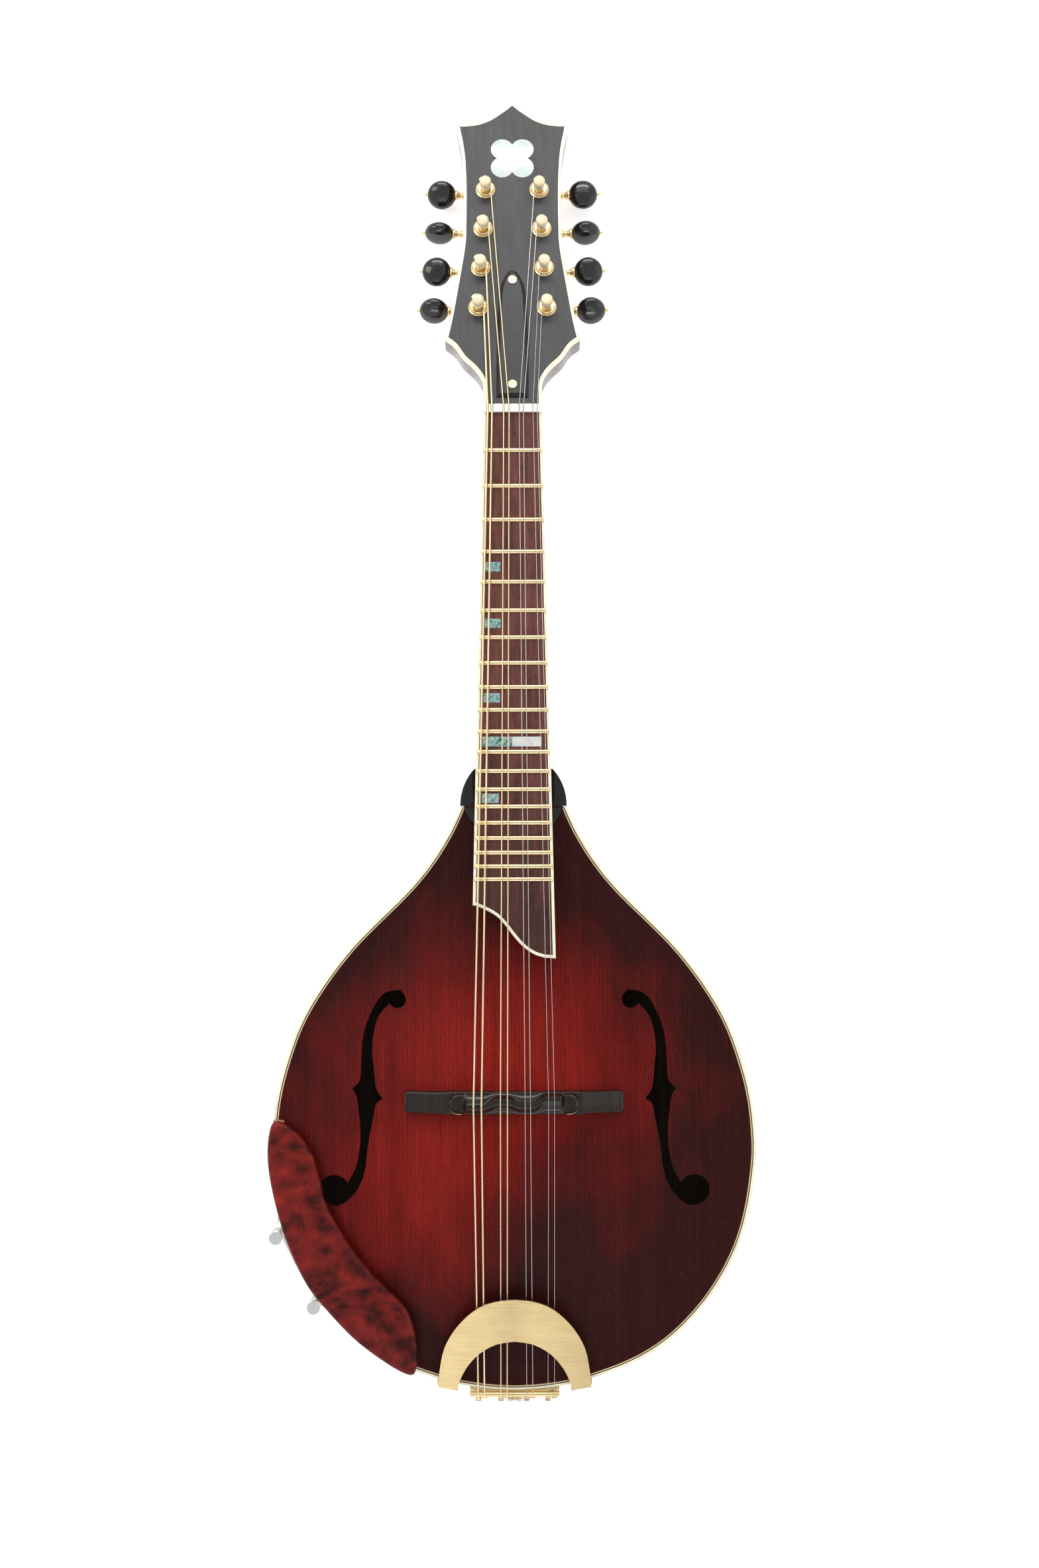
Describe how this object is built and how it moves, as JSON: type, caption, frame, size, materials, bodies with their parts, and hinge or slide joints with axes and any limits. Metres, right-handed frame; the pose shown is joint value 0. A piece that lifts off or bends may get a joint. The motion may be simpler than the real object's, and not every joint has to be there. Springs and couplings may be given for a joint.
{
  "type": "mandolin",
  "caption": "Carved-top teardrop mandolin with sound holes, fretted neck, worm-geared tuners, adjustable bridge, crescent tailpiece and clamp-on armrest.",
  "frame": {"origin": "centre of the strap pin's head at the tail", "axes": "+Y from the tail to the headstock, +Z out of the top, +X to the treble side"},
  "size_m": [0.2514, 0.6889, 0.1041],
  "materials": {
    "top_finish": "satin lacquer over straight spruce grain, cherry-red burst fading to near black at the edge",
    "back_finish": "satin lacquer over figured maple, dark red",
    "cream_binding": "cream with thin black and tan lines",
    "bare_spruce": "unfinished",
    "bare_softwood": "unfinished",
    "neck_finish": "satin dark red lacquer",
    "steel": "turned",
    "brass_nut": "turned",
    "black_cap": "polished black",
    "rosewood": "oiled, open pored",
    "gold_wire": "polished",
    "bone": "polished bone",
    "pearl": "pearl with shifting tints",
    "ebony_veneer": "satin lacquered ebony",
    "gold_plate": "satin gold plate",
    "bronze_string": "round wound",
    "steel_string": "plain wire",
    "ebony": "satin ebony",
    "satin_brass": "satin cast",
    "red_burl": "glossy lacquer over burl",
    "clamp_metal": "polished, slightly worn"
  },
  "bodies": {
    "root": {"top_plate": "top_finish", "back_plate": "back_finish", "side_ribs": "back_finish", "body_binding": "cream_binding", "linings": "bare_softwood", "end_blocks": "bare_softwood", "tone_bars": "bare_spruce", "neck": "neck_finish", "truss_rod": "steel", "joint_caps": "black_cap", "fingerboard": "rosewood", "fingerboard_binding": "cream_binding", "frets": "gold_wire", "nut": "bone", "pearl_inlays": "pearl", "headstock_veneer": "ebony_veneer", "headstock_binding": "cream_binding", "truss_cover": "black_cap", "small_screws": "gold_plate", "tuner_plates": "gold_plate", "post_bushings": "gold_plate", "wound_strings": "bronze_string", "plain_strings": "steel_string", "bridge_base": "ebony", "bridge_studs": "steel", "tailpiece": "satin_brass", "end_pin": "satin_brass", "armrest": "red_burl", "armrest_bracket": "clamp_metal"},
    "post_1": {"post_1": "gold_plate"},
    "tuner_1": {"worm_1": "gold_plate", "button_1": "ebony"},
    "post_2": {"post_2": "gold_plate"},
    "tuner_2": {"worm_2": "gold_plate", "button_2": "ebony"},
    "post_3": {"post_3": "gold_plate"},
    "tuner_3": {"worm_3": "gold_plate", "button_3": "ebony"},
    "post_4": {"post_4": "gold_plate"},
    "tuner_4": {"worm_4": "gold_plate", "button_4": "ebony"},
    "post_5": {"post_5": "gold_plate"},
    "tuner_5": {"worm_5": "gold_plate", "button_5": "ebony"},
    "post_6": {"post_6": "gold_plate"},
    "tuner_6": {"worm_6": "gold_plate", "button_6": "ebony"},
    "post_7": {"post_7": "gold_plate"},
    "tuner_7": {"worm_7": "gold_plate", "button_7": "ebony"},
    "post_8": {"post_8": "gold_plate"},
    "tuner_8": {"worm_8": "gold_plate", "button_8": "ebony"},
    "saddle": {"saddle": "ebony"},
    "thumbwheel_bass": {"thumbwheel_bass": "gold_plate"},
    "thumbwheel_treble": {"thumbwheel_treble": "gold_plate"},
    "truss_nut": {"truss_nut": "brass_nut"},
    "clamp_foot": {"clamp_foot": "clamp_metal"},
    "clamp_barrel_1": {"clamp_barrel_1": "clamp_metal"},
    "clamp_barrel_2": {"clamp_barrel_2": "clamp_metal"}
  },
  "joints": [
    {"name": "tuner_1_turn", "type": "hinge", "parent": "root", "child": "tuner_1", "pos_m": [-0.01752, 0.57087, -0.02159], "axis": [0.9986, -0.0509, 0.0156], "continuous": true},
    {"name": "post_1_turn", "type": "hinge", "parent": "root", "child": "post_1", "pos_m": [-0.0179, 0.56999, 0.00011], "axis": [0, 0.2924, 0.9563], "continuous": true},
    {"name": "tuner_2_turn", "type": "hinge", "parent": "root", "child": "tuner_2", "pos_m": [-0.01629, 0.59285, -0.02832], "axis": [0.9986, -0.0509, 0.0156], "continuous": true},
    {"name": "post_2_turn", "type": "hinge", "parent": "root", "child": "post_2", "pos_m": [-0.01667, 0.59197, -0.00661], "axis": [0, 0.2924, 0.9563], "continuous": true},
    {"name": "tuner_3_turn", "type": "hinge", "parent": "root", "child": "tuner_3", "pos_m": [-0.01507, 0.61484, -0.03504], "axis": [0.9986, -0.0509, 0.0156], "continuous": true},
    {"name": "post_3_turn", "type": "hinge", "parent": "root", "child": "post_3", "pos_m": [-0.01545, 0.61395, -0.01333], "axis": [0, 0.2924, 0.9563], "continuous": true},
    {"name": "tuner_4_turn", "type": "hinge", "parent": "root", "child": "tuner_4", "pos_m": [-0.01384, 0.63682, -0.04176], "axis": [0.9986, -0.0509, 0.0156], "continuous": true},
    {"name": "post_4_turn", "type": "hinge", "parent": "root", "child": "post_4", "pos_m": [-0.01422, 0.63594, -0.02005], "axis": [0, 0.2924, 0.9563], "continuous": true},
    {"name": "tuner_5_turn", "type": "hinge", "parent": "root", "child": "tuner_5", "pos_m": [0.01384, 0.63682, -0.04176], "axis": [0.9986, 0.0509, -0.0156], "continuous": true},
    {"name": "post_5_turn", "type": "hinge", "parent": "root", "child": "post_5", "pos_m": [0.01422, 0.63594, -0.02005], "axis": [0, 0.2924, 0.9563], "continuous": true},
    {"name": "tuner_6_turn", "type": "hinge", "parent": "root", "child": "tuner_6", "pos_m": [0.01507, 0.61484, -0.03504], "axis": [0.9986, 0.0509, -0.0156], "continuous": true},
    {"name": "post_6_turn", "type": "hinge", "parent": "root", "child": "post_6", "pos_m": [0.01545, 0.61395, -0.01333], "axis": [0, 0.2924, 0.9563], "continuous": true},
    {"name": "tuner_7_turn", "type": "hinge", "parent": "root", "child": "tuner_7", "pos_m": [0.01629, 0.59285, -0.02832], "axis": [0.9986, 0.0509, -0.0156], "continuous": true},
    {"name": "post_7_turn", "type": "hinge", "parent": "root", "child": "post_7", "pos_m": [0.01667, 0.59197, -0.00661], "axis": [0, 0.2924, 0.9563], "continuous": true},
    {"name": "tuner_8_turn", "type": "hinge", "parent": "root", "child": "tuner_8", "pos_m": [0.01752, 0.57087, -0.02159], "axis": [0.9986, 0.0509, -0.0156], "continuous": true},
    {"name": "post_8_turn", "type": "hinge", "parent": "root", "child": "post_8", "pos_m": [0.0179, 0.56999, 0.00011], "axis": [0, 0.2924, 0.9563], "continuous": true},
    {"name": "saddle_lift", "type": "slide", "parent": "root", "child": "saddle", "axis": [0, 0, 1], "range_m": [-0.0015, 0.0015], "deforming": ["wound_strings", "plain_strings"]},
    {"name": "thumbwheel_bass_turn", "type": "hinge", "parent": "saddle", "child": "thumbwheel_bass", "pos_m": [-0.0278, 0.1589, 0.04625], "axis": [0, 0, 1], "range_deg": [-676, 676]},
    {"name": "thumbwheel_treble_turn", "type": "hinge", "parent": "saddle", "child": "thumbwheel_treble", "pos_m": [0.0278, 0.1589, 0.04625], "axis": [0, 0, 1], "range_deg": [-676, 676]},
    {"name": "truss_nut_turn", "type": "hinge", "parent": "root", "child": "truss_nut", "pos_m": [0, 0.52393, 0.00674], "axis": [0, 0.9962, -0.0872], "range_deg": [-180, 180]},
    {"name": "clamp_slide", "type": "slide", "parent": "root", "child": "clamp_foot", "axis": [0, 0, 1], "range_m": [-0.004, 0]},
    {"name": "clamp_barrel_1_turn", "type": "hinge", "parent": "root", "child": "clamp_barrel_1", "pos_m": [-0.1226, 0.0879, 0], "axis": [0, 0, 1], "range_deg": [-1810, 0]},
    {"name": "clamp_barrel_2_turn", "type": "hinge", "parent": "root", "child": "clamp_barrel_2", "pos_m": [-0.1032, 0.0521, 0], "axis": [0, 0, 1], "range_deg": [-1810, 0]}
  ],
  "couplings": [
    {"joint": "post_1_turn", "follows": "tuner_1_turn", "ratio": 0.0625},
    {"joint": "post_2_turn", "follows": "tuner_2_turn", "ratio": 0.0625},
    {"joint": "post_3_turn", "follows": "tuner_3_turn", "ratio": 0.0625},
    {"joint": "post_4_turn", "follows": "tuner_4_turn", "ratio": 0.0625},
    {"joint": "post_5_turn", "follows": "tuner_5_turn", "ratio": 0.0625},
    {"joint": "post_6_turn", "follows": "tuner_6_turn", "ratio": 0.0625},
    {"joint": "post_7_turn", "follows": "tuner_7_turn", "ratio": 0.0625},
    {"joint": "post_8_turn", "follows": "tuner_8_turn", "ratio": 0.0625},
    {"joint": "thumbwheel_bass_turn", "follows": "saddle_lift", "rad_per_m": 7854},
    {"joint": "thumbwheel_treble_turn", "follows": "saddle_lift", "rad_per_m": 7854},
    {"joint": "clamp_barrel_1_turn", "follows": "clamp_slide", "rad_per_m": 7854},
    {"joint": "clamp_barrel_2_turn", "follows": "clamp_slide", "rad_per_m": 7854}
  ]
}
